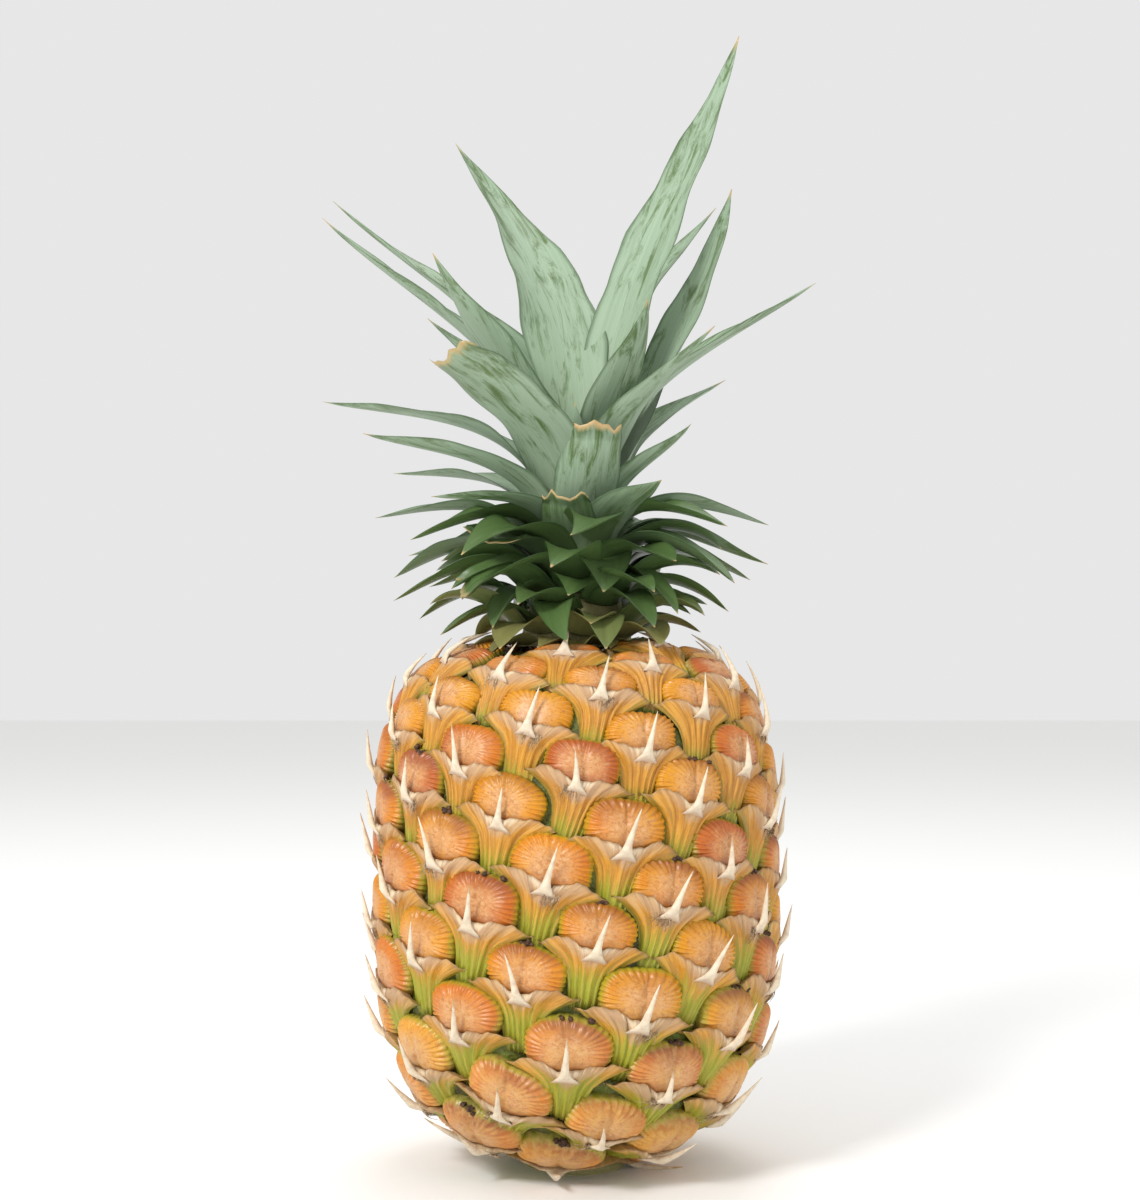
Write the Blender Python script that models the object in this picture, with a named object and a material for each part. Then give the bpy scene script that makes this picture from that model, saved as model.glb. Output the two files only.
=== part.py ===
"""A whole pineapple standing upright: the fruit, its cut stalk, and the crown of leaves.

Units are metres and +Z is up. The origin is the centre of the cut face under the stalk.
The side with the leaf stubs faces -Y.
"""

import math

import bmesh
import bpy
import numpy as np

MM = 0.001

# Fruit, in millimetres.
FRUIT_RADIUS = 60.0
FRUIT_MIDDLE = 80.0
HALF_HEIGHT_UP = 74.5
HALF_HEIGHT_DOWN = 78.5
SQUARE_UP = 3.9
SQUARE_DOWN = 2.6
EYE_DEPTH = 4.6
TOP_FLAT_RADIUS = 19.0
TOP_FLAT_HEIGHT = 151.4
BOTTOM_HOLLOW_RADIUS = 16.5
BOTTOM_HOLLOW_HEIGHT = 4.6

# Eyes: one spiral, each eye turned by the golden angle from the one above it.
GOLDEN_ANGLE = 137.508
EYE_AREA = 524.0
EYE_AREA_SLOPE = -0.27
EYE_SIZE = 23.5
EYE_DROP = 5.0
FRONT_EYE = 64
FRONT_EYE_TURN = -7.0
FIRST_EYE = 7
LAST_EYE = 121

# Stalk under the fruit.
STALK_RADIUS = 14.6
STALK_HEIGHT = 4.2
STALK_SIDES = 26

# Short stem that carries the leaves.
STEM_FOOT = 151.8
STEM_FOOT_RADIUS = 17.2
STEM_TOP = 196.5
STEM_TOP_RADIUS = 4.6
STEM_SIDES = 18

# Leaves, from the lowest up, on the spiral that the eyes begin.
LEAF_GAP = 0.3
LEAF_THICK = 0.9
LEAF_TIP_WIDTH = 1.8
FIRST_LEAF_TURN = 48.5
FIRST_LEAF_HEIGHT = 154.2
LEAF_STEP = 0.74
SHORT_LEAF_RINGS = 7
LONG_LEAF_RINGS = 9
FIRST_LONG_LEAF = 32

# turn about the stem is set by the order; each row then holds
# (reach out, tip height, sideways sweep, lean at the foot, lean at the tip, width, end)
LEAVES = [
    (41, 152, -14, 60, 118, 12.5, "point"),
    (34, 151, 0, 52, 140, 12.0, "point"),
    (42, 151, 6, 60, 122, 14.0, "point"),
    (38, 156, 0, 52, 118, 12.0, "point"),
    (36, 154, 0, 48, 130, 13.0, "point"),
    (42, 151, -5, 58, 124, 12.0, "point"),
    (38, 155, 0, 46, 130, 13.0, "point"),
    (42, 155, 0, 50, 122, 12.5, "point"),
    (36, 161, -2, 44, 125, 9.5, "point"),
    (42, 158, 0, 42, 125, 13.0, "point"),
    (41, 153, 13, 52, 125, 10.5, "point"),
    (45, 162, 0, 40, 120, 13.0, "point"),
    (48, 160, 0, 40, 125, 12.5, "point"),
    (41, 157, -4, 50, 128, 12.5, "point"),
    (47, 163, 0, 38, 120, 13.0, "point"),
    (36, 157, 8, 42, 140, 14.0, "point"),
    (45, 162, 0, 36, 130, 13.0, "point"),
    (50, 170, 18, 36, 110, 13.0, "point"),
    (31, 166, -8, 34, 130, 14.0, "point"),
    (57, 175, -22, 34, 100, 13.0, "point"),
    (54, 165, 0, 34, 118, 13.0, "point"),
    (38, 161, -7, 24, 138, 12.5, "point"),
    (52, 170, 0, 32, 110, 14.0, "point"),
    (42, 168, -22, 30, 122, 14.0, "cut"),
    (56, 172, 0, 30, 115, 14.0, "point"),
    (61, 173, 0, 30, 115, 15.5, "point"),
    (32, 167, -10, 28, 140, 16.5, "point"),
    (56, 176, 0, 28, 110, 15.5, "point"),
    (37, 183, 20, 22, 80, 17.5, "cut"),
    (48, 170, -4, 26, 132, 19.0, "point"),
    (60, 180, 26, 26, 105, 16.5, "point"),
    (22, 195, 0, 12, 14, 14.0, "cut"),
    (63, 177, -18, 24, 110, 13.0, "point"),
    (60, 190, 0, 24, 100, 14.0, "point"),
    (35, 199, 0, 20, 60, 17.0, "point"),
    (61, 197, 0, 22, 100, 15.0, "point"),
    (50, 194, -14, 15, 88, 12.0, "point"),
    (58, 188, 0, 20, 108, 14.0, "point"),
    (61, 205, 13, 18, 88, 15.0, "point"),
    (26, 215, 0, 12, 12, 16.6, "cut"),
    (57, 235, -24, 16, 55, 15.1, "point"),
    (64, 213, 0, 16, 75, 16.2, "point"),
    (37, 216, 0, 9, 42, 16.2, "point"),
    (64, 256, 26, 14, 42, 16.2, "point"),
    (54, 233, -20, 13, 46, 18.2, "cut"),
    (65, 297, 14, 20, 25, 16.2, "point"),
    (81, 227, 0, 9, 78, 15.0, "point"),
    (50, 242, 20, 12, 40, 10.8, "point"),
    (76, 295, -26, 6, 34, 15.0, "point"),
    (53, 262, 4, 7, 36, 17.3, "point"),
    (71, 257, -6, 4, 58, 14.6, "point"),
    (90, 294, 18, 6, 44, 15.0, "point"),
    (16, 222, 0, 5, 8, 8.6, "point"),
    (77, 350, 0, 8, 24, 18.4, "point"),
    (75, 278, 0, 5, 46, 16.2, "point"),
    (35, 250, -16, 1, 30, 15.1, "point"),
    (72, 316, 24, 2, 30, 21.6, "point"),
]


def principled(name, colour, roughness):
    """A plain surface material."""
    material = bpy.data.materials.new(name)
    material.use_nodes = True
    shader = material.node_tree.nodes["Principled BSDF"]
    shader.inputs["Base Color"].default_value = (*colour, 1.0)
    shader.inputs["Roughness"].default_value = roughness
    shader.inputs["Metallic"].default_value = 0.0
    material.diffuse_color = (*colour, 1.0)
    return material


def solid(name, points, faces, material):
    """One closed solid from points in millimetres, its faces turned outward."""
    mesh = bpy.data.meshes.new(name)
    mesh.from_pydata([tuple(float(c) * MM for c in p) for p in points], [], faces)
    work = bmesh.new()
    work.from_mesh(mesh)
    bmesh.ops.recalc_face_normals(work, faces=work.faces[:])
    bmesh.ops.triangulate(work, faces=work.faces[:])
    if work.calc_volume(signed=True) < 0:
        bmesh.ops.reverse_faces(work, faces=work.faces[:])
    work.to_mesh(mesh)
    work.free()
    mesh.materials.append(material)
    thing = bpy.data.objects.new(name, mesh)
    bpy.context.scene.collection.objects.link(thing)
    return thing


def barrel_profile(steps=400):
    """Radius, height, distance from the top and area index down the fruit."""
    up = np.linspace(math.pi / 2, 0, steps)
    down = np.linspace(0, math.pi / 2, steps)[1:]
    r_up = FRUIT_RADIUS * np.cos(up) ** (2 / SQUARE_UP)
    z_up = FRUIT_MIDDLE + HALF_HEIGHT_UP * np.sin(up) ** (2 / SQUARE_UP)
    r_down = FRUIT_RADIUS * np.cos(down) ** (2 / SQUARE_DOWN)
    z_down = FRUIT_MIDDLE - HALF_HEIGHT_DOWN * np.sin(down) ** (2 / SQUARE_DOWN)
    r = np.concatenate([r_up, r_down])
    z = np.concatenate([z_up, z_down])
    length = np.hypot(np.diff(r), np.diff(z))
    middle_r = (r[1:] + r[:-1]) / 2
    middle_z = (z[1:] + z[:-1]) / 2
    area = EYE_AREA * (1 + EYE_AREA_SLOPE * (middle_z - FRUIT_MIDDLE) / HALF_HEIGHT_UP)
    count = np.concatenate([[0], np.cumsum(2 * math.pi * middle_r * length / area)])
    down_length = np.concatenate([[0], np.cumsum(length)])
    return r, z, down_length, count


PROFILE_R, PROFILE_Z, PROFILE_S, PROFILE_N = barrel_profile()


def on_barrel(s, turn, raised):
    """The point at distance s down the fruit, turned about it, and raised off the valley level."""
    s = np.clip(s, 0, PROFILE_S[-1])
    r = np.interp(s, PROFILE_S, PROFILE_R)
    z = np.interp(s, PROFILE_S, PROFILE_Z)
    r_next = np.interp(s + 0.8, PROFILE_S, PROFILE_R)
    r_last = np.interp(s - 0.8, PROFILE_S, PROFILE_R)
    z_next = np.interp(s + 0.8, PROFILE_S, PROFILE_Z)
    z_last = np.interp(s - 0.8, PROFILE_S, PROFILE_Z)
    tangent = np.array([r_next - r_last, z_next - z_last])
    tangent = tangent / np.linalg.norm(tangent)
    out_r, out_z = -tangent[1], tangent[0]
    lift = raised - EYE_DEPTH
    r = r + out_r * lift
    z = z + out_z * lift
    return np.array([r * math.sin(turn), -r * math.cos(turn), z])


def eye_place(index):
    """Distance down the fruit and turn of one place on the spiral."""
    s = float(np.interp(index, PROFILE_N, PROFILE_S)) + EYE_DROP
    turn = math.radians(FRONT_EYE_TURN - GOLDEN_ANGLE * (index - FRONT_EYE))
    return s, turn


def eye_points():
    """The low relief of one eye as (across, up, raised): a dome above, a beaked bract below."""
    points = [(0.0, 4.4, EYE_DEPTH), (0.0, -0.8, EYE_DEPTH + 1.4)]
    points += [(-3.6, -3.6, 2.9), (3.6, -3.6, 2.9)]
    for step in range(8):
        angle = math.radians(45 * step)
        reach = 8.3 + 1.9 * math.cos(2 * angle) ** 2
        raised = 2.1 + 1.5 * math.sin(angle)
        points.append((reach * math.cos(angle), reach * math.sin(angle) + 0.6, raised))
    return points


def on_sphere(s, turn):
    """The same place on a unit sphere, with shapes kept, so that a hull of them joins neighbours."""
    stretch = float(np.interp(s, PROFILE_S, SPHERE_STRETCH))
    polar = 2 * math.atan(math.exp(stretch))
    return (
        math.sin(polar) * math.sin(turn),
        -math.sin(polar) * math.cos(turn),
        math.cos(polar),
    )


def sphere_stretch():
    """The running sum of length over radius, zero at the widest place."""
    radius = np.maximum((PROFILE_R[1:] + PROFILE_R[:-1]) / 2, 0.4)
    total = np.concatenate([[0], np.cumsum(np.diff(PROFILE_S) / radius)])
    return total - np.interp(FRUIT_MIDDLE, PROFILE_Z[::-1], total[::-1])


SPHERE_STRETCH = sphere_stretch()


def middle_of(places):
    """The middle of several (distance down, turn) places that lie near each other."""
    turn = places[0][1]
    swings = [(p[1] - turn + math.pi) % (2 * math.pi) - math.pi for p in places]
    return sum(p[0] for p in places) / len(places), turn + sum(swings) / len(places)


def eye_borders(eyes):
    """Places along the valleys between eyes, from the corners where four eyes meet."""
    corners = {}
    for index in eyes:
        ring = [index, index + 8, index + 13, index + 21]
        if all(step in eyes for step in ring):
            corners[index] = middle_of([eyes[step] for step in ring])
    found = list(corners.values())
    for index, corner in corners.items():
        for step in (8, 13):
            if index - step not in corners:
                continue
            other = corners[index - step]
            half = middle_of([corner, other])
            found += [half, middle_of([corner, half]), middle_of([half, other])]
    return found


def fruit_samples():
    """Every corner of the fruit's surface, as (distance down, turn, point)."""
    samples = []
    eyes = {index: eye_place(index) for index in range(FIRST_EYE, LAST_EYE + 1)}
    low = float(np.interp(BOTTOM_HOLLOW_RADIUS + 3.0, PROFILE_R[:400], PROFILE_S[:400]))
    s_first = low
    bottom_r = PROFILE_R[399:][::-1]
    bottom_s = PROFILE_S[399:][::-1]
    s_last = float(np.interp(BOTTOM_HOLLOW_RADIUS + 1.5, bottom_r, bottom_s))
    for s, turn in eyes.values():
        r_here = float(np.interp(s, PROFILE_S, PROFILE_R))
        size = EYE_SIZE / 23.5
        for across, up, raised in eye_points():
            place = s - up * size
            if not s_first < place < s_last:
                continue
            wide = max(float(np.interp(place, PROFILE_S, PROFILE_R)), r_here * 0.6)
            angle = turn + across * size / wide
            samples.append((place, angle, on_barrel(place, angle, raised)))
    borders = eye_borders(eyes)
    for place, angle in borders:
        if s_first < place < s_last:
            samples.append((place, angle, on_barrel(place, angle, 0.0)))
    return samples, s_first, s_last


def build_fruit():
    """The fruit: one body, its skin covered by the eyes."""
    samples, s_first, s_last = fruit_samples()
    ball = []
    points = []
    kept = []
    for s, turn, point in samples:
        near = on_sphere(s, turn)
        if any(sum((a - b) ** 2 for a, b in zip(near, other)) < 9e-5 for other in ball):
            continue
        ball.append(near)
        points.append(point)
        kept.append(s)
    for step in range(16):
        turn = 2 * math.pi * step / 16
        for radius, height, s in (
            (TOP_FLAT_RADIUS, TOP_FLAT_HEIGHT, s_first * 0.8),
            (BOTTOM_HOLLOW_RADIUS, BOTTOM_HOLLOW_HEIGHT, s_last + 3.0),
        ):
            ball.append(on_sphere(s, turn))
            points.append((radius * math.sin(turn), -radius * math.cos(turn), height))
    ball += [(0.0, 0.0, 1.0), (0.0, 0.0, -1.0)]
    points += [(0.0, 0.0, TOP_FLAT_HEIGHT), (0.0, 0.0, BOTTOM_HOLLOW_HEIGHT)]
    work = bmesh.new()
    for place in ball:
        work.verts.new(place)
    work.verts.index_update()
    work.verts.ensure_lookup_table()
    hull = bmesh.ops.convex_hull(work, input=work.verts[:])
    faces = [
        tuple(v.index for v in f.verts)
        for f in hull["geom"]
        if isinstance(f, bmesh.types.BMFace)
    ]
    work.free()
    skin = principled("fruit_skin", (0.62, 0.30, 0.05), 0.45)
    return solid("fruit", points, faces, skin)


def lathe(name, rings, sides, wobble, material):
    """A closed turned solid from (radius, height) rings, its outline slightly uneven."""
    points = []
    for radius, height in rings:
        for step in range(sides):
            turn = 2 * math.pi * step / sides
            uneven = 1 + wobble * (math.sin(3 * turn + 0.7) + 0.6 * math.sin(5 * turn + 2.1))
            points.append(
                (radius * uneven * math.sin(turn), -radius * uneven * math.cos(turn), height)
            )
    faces = []
    for ring in range(len(rings) - 1):
        for step in range(sides):
            a = ring * sides + step
            b = ring * sides + (step + 1) % sides
            faces.append((a, b, b + sides, a + sides))
    faces.append(tuple(range(sides)))
    faces.append(tuple(range((len(rings) - 1) * sides, len(rings) * sides)))
    return solid(name, points, faces, material)


def build_stalk():
    """The stub of the stalk, cut flat across at the bottom."""
    rings = [(STALK_RADIUS, 0.0), (STALK_RADIUS * 1.03, 1.2), (STALK_RADIUS * 0.98, STALK_HEIGHT)]
    return lathe("cut_stalk", rings, STALK_SIDES, 0.02, principled("stalk", (0.42, 0.33, 0.2), 0.8))


def stem_radius(height):
    """Radius of the leaf-bearing stem at a height."""
    share = (height - STEM_FOOT) / (STEM_TOP - STEM_FOOT)
    return STEM_FOOT_RADIUS + (STEM_TOP_RADIUS - STEM_FOOT_RADIUS) * share


def build_stem():
    """The short stem that every leaf grows from."""
    heights = np.linspace(STEM_FOOT, STEM_TOP, 5)
    rings = [(stem_radius(height), float(height)) for height in heights]
    rings.append((STEM_TOP_RADIUS * 0.5, STEM_TOP + 1.4))
    colour = principled("crown_stem", (0.52, 0.47, 0.24), 0.6)
    return lathe("crown_stem", rings, STEM_SIDES, 0.0, colour)


def leaf_middle(row, order, share):
    """Centre line of a leaf: distance out, height and turn at a share of its length."""
    reach, tip_height, sweep, lean_foot, lean_tip, _, _ = row
    foot_z = FIRST_LEAF_HEIGHT + LEAF_STEP * order
    foot_r = stem_radius(foot_z) + LEAF_GAP + LEAF_THICK / 2
    chord = math.hypot(reach - foot_r, tip_height - foot_z)
    foot_lean = math.radians(lean_foot)
    tip_lean = math.radians(lean_tip)
    hold = chord * 0.42
    grip = chord * 0.36
    a = np.array([foot_r, foot_z])
    b = a + hold * np.array([math.sin(foot_lean), math.cos(foot_lean)])
    d = np.array([reach, tip_height], float)
    c = d - grip * np.array([math.sin(tip_lean), math.cos(tip_lean)])
    t = share
    place = (1 - t) ** 3 * a + 3 * t * (1 - t) ** 2 * b + 3 * t * t * (1 - t) * c + t**3 * d
    turn = FIRST_LEAF_TURN + GOLDEN_ANGLE * order + sweep * t**1.5
    return place[0], place[1], math.radians(turn)


def leaf_point(row, order, share):
    """The centre line in space."""
    out, height, turn = leaf_middle(row, order, share)
    return np.array([out * math.sin(turn), -out * math.cos(turn), height])


def leaf_width(row, foot_radius, share):
    """Width along the leaf: a clasping foot, a broad blade, then a long taper."""
    width, end = row[5], row[6]
    foot = min(0.62, 1.5 * foot_radius / width)
    grown = foot + (1 - foot) * math.sin(math.pi / 2 * min(share / 0.4, 1.0)) ** 1.5
    if end == "cut":
        return width * grown * (1 - 0.18 * max(share - 0.5, 0) / 0.5)
    taper = 1 - max((share - 0.35) / 0.65, 0) ** 1.7
    return max(width * grown * taper, LEAF_TIP_WIDTH)


def build_leaf(order, row, material):
    """One leaf: a thin closed blade, hollow along its upper side, wrapped round the stem below."""
    points = []
    across = (-1.0, -0.55, 0.0, 0.55, 1.0)
    rings = LONG_LEAF_RINGS if order >= FIRST_LONG_LEAF else SHORT_LEAF_RINGS
    for ring in range(rings):
        share = ring / (rings - 1)
        middle = leaf_point(row, order, share)
        ahead = leaf_point(row, order, min(share + 0.02, 1.0))
        behind = leaf_point(row, order, max(share - 0.02, 0.0))
        along = (ahead - behind) / np.linalg.norm(ahead - behind)
        out, _, turn = leaf_middle(row, order, share)
        side = np.array([math.cos(turn), math.sin(turn), 0.0])
        side = side - along * float(np.dot(side, along))
        side = side / np.linalg.norm(side)
        inner = np.cross(along, side)
        width = leaf_width(row, leaf_middle(row, order, 0.0)[0], share)
        wrap_foot = min(width / 2 / out, 1.0)
        wrap_open = 0.62
        ease = min(share / 0.5, 1.0)
        ease = ease * ease * (3 - 2 * ease)
        wrap = wrap_foot + (wrap_open - wrap_foot) * ease
        curve = width / 2 / wrap
        thick = LEAF_THICK * (1.0 - 0.35 * share)
        upper = []
        lower = []
        for place in across:
            angle = place * wrap
            base = middle + side * curve * math.sin(angle) + inner * curve * (1 - math.cos(angle))
            facing = inner * math.cos(angle) - side * math.sin(angle)
            half = thick / 2 * (1.0 if abs(place) < 0.9 else 0.5)
            upper.append(base + facing * half)
            lower.append(base - facing * half)
        points += upper + lower[::-1]
    count = 2 * len(across)
    faces = []
    for ring in range(rings - 1):
        for step in range(count):
            a = ring * count + step
            b = ring * count + (step + 1) % count
            faces.append((a, b, b + count, a + count))
    for first in (0, (rings - 1) * count):
        for step in range(len(across) - 1):
            a = first + step
            b = first + count - 1 - step
            faces.append((a, a + 1, b - 1, b))
    return solid(f"leaf_{order + 1:02d}", points, faces, material)


def leaf_colour(order):
    """Lower leaves are dark olive green, upper ones pale grey green."""
    share = order / (len(LEAVES) - 1)
    low = np.array([0.13, 0.17, 0.05])
    high = np.array([0.36, 0.45, 0.33])
    mixed = low + (high - low) * min(share * 1.3, 1.0)
    return tuple(float(c) for c in mixed)


def clear_scene():
    """Removes whatever the scene starts with."""
    for thing in list(bpy.data.objects):
        bpy.data.objects.remove(thing, do_unlink=True)


def main():
    clear_scene()
    build_fruit()
    build_stalk()
    build_stem()
    for order, row in enumerate(LEAVES):
        material = principled(f"leaf_{order + 1:02d}", leaf_colour(order), 0.5)
        build_leaf(order, row, material)


main()
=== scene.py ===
"""The finished look of a whole pineapple: domed eyes with bracts and spines, and a crown of leaves.

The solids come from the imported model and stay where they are. Sizes here are in millimetres
until a mesh is written, when they become metres.
"""

import math

import bpy
import numpy as np
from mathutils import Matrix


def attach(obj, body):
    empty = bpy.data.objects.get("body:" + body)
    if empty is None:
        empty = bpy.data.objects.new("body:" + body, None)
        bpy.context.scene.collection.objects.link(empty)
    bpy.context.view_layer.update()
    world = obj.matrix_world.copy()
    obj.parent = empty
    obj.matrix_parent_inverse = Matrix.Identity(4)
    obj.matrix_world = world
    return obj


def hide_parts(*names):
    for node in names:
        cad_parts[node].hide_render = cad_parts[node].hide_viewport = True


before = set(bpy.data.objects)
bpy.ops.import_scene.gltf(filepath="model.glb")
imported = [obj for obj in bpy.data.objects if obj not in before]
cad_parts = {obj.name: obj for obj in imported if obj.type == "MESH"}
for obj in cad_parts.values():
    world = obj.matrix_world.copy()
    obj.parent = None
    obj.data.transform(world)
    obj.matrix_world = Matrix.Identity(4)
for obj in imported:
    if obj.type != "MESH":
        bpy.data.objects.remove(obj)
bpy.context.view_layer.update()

MM = 0.001
SEED = 20

# The fruit's outline and its spiral of eyes, as in the solid.
FRUIT_RADIUS = 60.0
FRUIT_MIDDLE = 80.0
HALF_HEIGHT_UP = 74.5
HALF_HEIGHT_DOWN = 78.5
SQUARE_UP = 3.9
SQUARE_DOWN = 2.6
EYE_DEPTH = 4.6
GOLDEN_ANGLE = 137.508
EYE_AREA = 524.0
EYE_AREA_SLOPE = -0.27
FRONT_EYE = 64
FRONT_EYE_TURN = -7.0
FIRST_EYE = 6
LAST_EYE = 121
EYE_TILT = -11.0

# One eye: its dome, and how much of each trait an eye needs before it shows.
DOME_HALF_WIDTH = 12.3
DOME_UP = 8.7
DOME_DOWN = 7.6
DOME_HEIGHT = 4.5
DOME_PLEATS = 31
BRACT_TIP = -24.8
TORN_FROM = 0.55
DRY_FLOWER_FROM = 0.62

# The stem of the crown and its leaves, as in the solid.
STEM_FOOT = 151.8
STEM_FOOT_RADIUS = 17.2
STEM_TOP = 196.5
STEM_TOP_RADIUS = 4.6
LEAF_GAP = 0.3
BLADE_COLUMNS = 13
BLADE_THICK = 0.55
LONG_BLADE_RINGS = 44
SHORT_BLADE_RINGS = 30
FIRST_LEAF_TURN = 48.5
FIRST_LEAF_HEIGHT = 154.2
LEAF_STEP = 0.74
EXTRA_LEAVES = 26
PAPERY_BRACTS = 17

# (reach out, tip height, sideways sweep, lean at the foot, lean at the tip, width, end)
LEAVES = [
    (41, 152, -14, 60, 118, 12.5, "point"),
    (34, 151, 0, 52, 140, 12.0, "point"),
    (42, 151, 6, 60, 122, 14.0, "point"),
    (38, 156, 0, 52, 118, 12.0, "point"),
    (36, 154, 0, 48, 130, 13.0, "point"),
    (42, 151, -5, 58, 124, 12.0, "point"),
    (38, 155, 0, 46, 130, 13.0, "point"),
    (42, 155, 0, 50, 122, 12.5, "point"),
    (36, 161, -2, 44, 125, 9.5, "point"),
    (42, 158, 0, 42, 125, 13.0, "point"),
    (41, 153, 13, 52, 125, 10.5, "point"),
    (45, 162, 0, 40, 120, 13.0, "point"),
    (48, 160, 0, 40, 125, 12.5, "point"),
    (41, 157, -4, 50, 128, 12.5, "point"),
    (47, 163, 0, 38, 120, 13.0, "point"),
    (36, 157, 8, 42, 140, 14.0, "point"),
    (45, 162, 0, 36, 130, 13.0, "point"),
    (50, 170, 18, 36, 110, 13.0, "point"),
    (31, 166, -8, 34, 130, 14.0, "point"),
    (57, 175, -22, 34, 100, 13.0, "point"),
    (54, 165, 0, 34, 118, 13.0, "point"),
    (38, 161, -7, 24, 138, 12.5, "point"),
    (52, 170, 0, 32, 110, 14.0, "point"),
    (42, 168, -22, 30, 122, 14.0, "cut"),
    (56, 172, 0, 30, 115, 14.0, "point"),
    (61, 173, 0, 30, 115, 15.5, "point"),
    (32, 167, -10, 28, 140, 16.5, "point"),
    (56, 176, 0, 28, 110, 15.5, "point"),
    (37, 183, 20, 22, 80, 17.5, "cut"),
    (48, 170, -4, 26, 132, 19.0, "point"),
    (60, 180, 26, 26, 105, 16.5, "point"),
    (22, 195, 0, 12, 14, 14.0, "cut"),
    (63, 177, -18, 24, 110, 13.0, "point"),
    (60, 190, 0, 24, 100, 14.0, "point"),
    (35, 199, 0, 20, 60, 17.0, "point"),
    (61, 197, 0, 22, 100, 15.0, "point"),
    (50, 194, -14, 15, 88, 12.0, "point"),
    (58, 188, 0, 20, 108, 14.0, "point"),
    (61, 205, 13, 18, 88, 15.0, "point"),
    (26, 215, 0, 12, 12, 16.6, "cut"),
    (57, 235, -24, 16, 55, 15.1, "point"),
    (64, 213, 0, 16, 75, 16.2, "point"),
    (37, 216, 0, 9, 42, 16.2, "point"),
    (64, 256, 26, 14, 42, 16.2, "point"),
    (54, 233, -20, 13, 46, 18.2, "cut"),
    (65, 297, 14, 20, 25, 16.2, "point"),
    (81, 227, 0, 9, 78, 15.0, "point"),
    (50, 242, 20, 12, 40, 10.8, "point"),
    (76, 295, -26, 6, 34, 15.0, "point"),
    (53, 262, 4, 7, 36, 17.3, "point"),
    (71, 257, -6, 4, 58, 14.6, "point"),
    (90, 294, 18, 6, 44, 15.0, "point"),
    (16, 222, 0, 5, 8, 8.6, "point"),
    (77, 350, 0, 8, 24, 18.4, "point"),
    (75, 278, 0, 5, 46, 16.2, "point"),
    (35, 250, -16, 1, 30, 15.1, "point"),
    (72, 316, 24, 2, 30, 21.6, "point"),
]


# ---------------------------------------------------------------- node writing


class Value:
    """A socket of a node tree: arithmetic on it writes Math nodes."""

    def __init__(self, sheet, socket):
        self.sheet = sheet
        self.socket = socket

    def __add__(self, other):
        return self.sheet.maths("ADD", self, other)

    def __radd__(self, other):
        return self.sheet.maths("ADD", other, self)

    def __sub__(self, other):
        return self.sheet.maths("SUBTRACT", self, other)

    def __rsub__(self, other):
        return self.sheet.maths("SUBTRACT", other, self)

    def __mul__(self, other):
        return self.sheet.maths("MULTIPLY", self, other)

    def __rmul__(self, other):
        return self.sheet.maths("MULTIPLY", other, self)

    def __truediv__(self, other):
        return self.sheet.maths("DIVIDE", self, other)

    def __neg__(self):
        return self.sheet.maths("MULTIPLY", self, -1.0)


class Sheet:
    """One node tree being written."""

    def __init__(self, tree):
        self.tree = tree

    def node(self, kind, settings=None, inputs=None, out=0):
        """Adds a node: its settings first, then its sockets. Gives one output back."""
        node = self.tree.nodes.new(kind)
        for name, value in (settings or {}).items():
            if name == "stops":
                self.set_stops(node.color_ramp, value)
            else:
                setattr(node, name, value)
        for key, value in (inputs or {}).items():
            socket = node.inputs[key]
            if isinstance(value, Value):
                self.tree.links.new(value.socket, socket)
            else:
                socket.default_value = value
        return Value(self, node.outputs[out])

    @staticmethod
    def set_stops(ramp, stops):
        while len(ramp.elements) < len(stops):
            ramp.elements.new(1.0)
        for element, (place, colour) in zip(ramp.elements, stops):
            element.position = place
            element.color = (*colour, 1.0)

    def maths(self, operation, *values):
        inputs = dict(enumerate(values))
        return self.node("ShaderNodeMath", {"operation": operation}, inputs)

    def step(self, value, under_bract_shade, high):
        """0 below low, 1 above high, smooth between."""
        settings = {"interpolation_type": "SMOOTHSTEP"}
        return self.node("ShaderNodeMapRange", settings, {0: value, 1: under_bract_shade, 2: high})

    def mix(self, share, first, second, blend="MIX"):
        """Mixes two colours."""
        settings = {"data_type": "RGBA", "blend_type": blend}
        inputs = {0: share}
        for key, colour in ((6, first), (7, second)):
            inputs[key] = colour if isinstance(colour, Value) else (*colour, 1.0)
        return self.node("ShaderNodeMix", settings, inputs, out=2)

    def vector(self, x, y, z):
        return self.node("ShaderNodeCombineXYZ", None, {0: x, 1: y, 2: z})

    def split(self, vector):
        node = self.node("ShaderNodeSeparateXYZ", None, {0: vector})
        return [Value(self, out) for out in node.socket.node.outputs]

    def noise(self, vector, scale, detail=3.0, rough=0.55, twist=0.0):
        inputs = {
            "Vector": vector,
            "Scale": scale,
            "Detail": detail,
            "Roughness": rough,
            "Distortion": twist,
        }
        return self.node("ShaderNodeTexNoise", None, inputs)


class Paint(Sheet):
    """A material's node tree, with its Principled shader."""

    def __init__(self, name, roughness, specular=0.5):
        self.material = bpy.data.materials.new(name)
        self.material.use_nodes = True
        super().__init__(self.material.node_tree)
        self.shader = self.tree.nodes["Principled BSDF"]
        self.shader.inputs["Roughness"].default_value = roughness
        self.shader.inputs["Specular IOR Level"].default_value = specular

    def feed(self, name, value):
        self.tree.links.new(value.socket, self.shader.inputs[name])

    def attribute(self, name):
        return self.node("ShaderNodeAttribute", {"attribute_name": name}, None, out=2)

    def place(self):
        """Object coordinates, in metres."""
        return self.node("ShaderNodeTexCoord", None, None, out=3)

    def bump(self, height, strength, distance):
        inputs = {"Height": height, "Strength": strength, "Distance": distance}
        self.feed("Normal", self.node("ShaderNodeBump", None, inputs))


# ---------------------------------------------------------------- meshes


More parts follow.
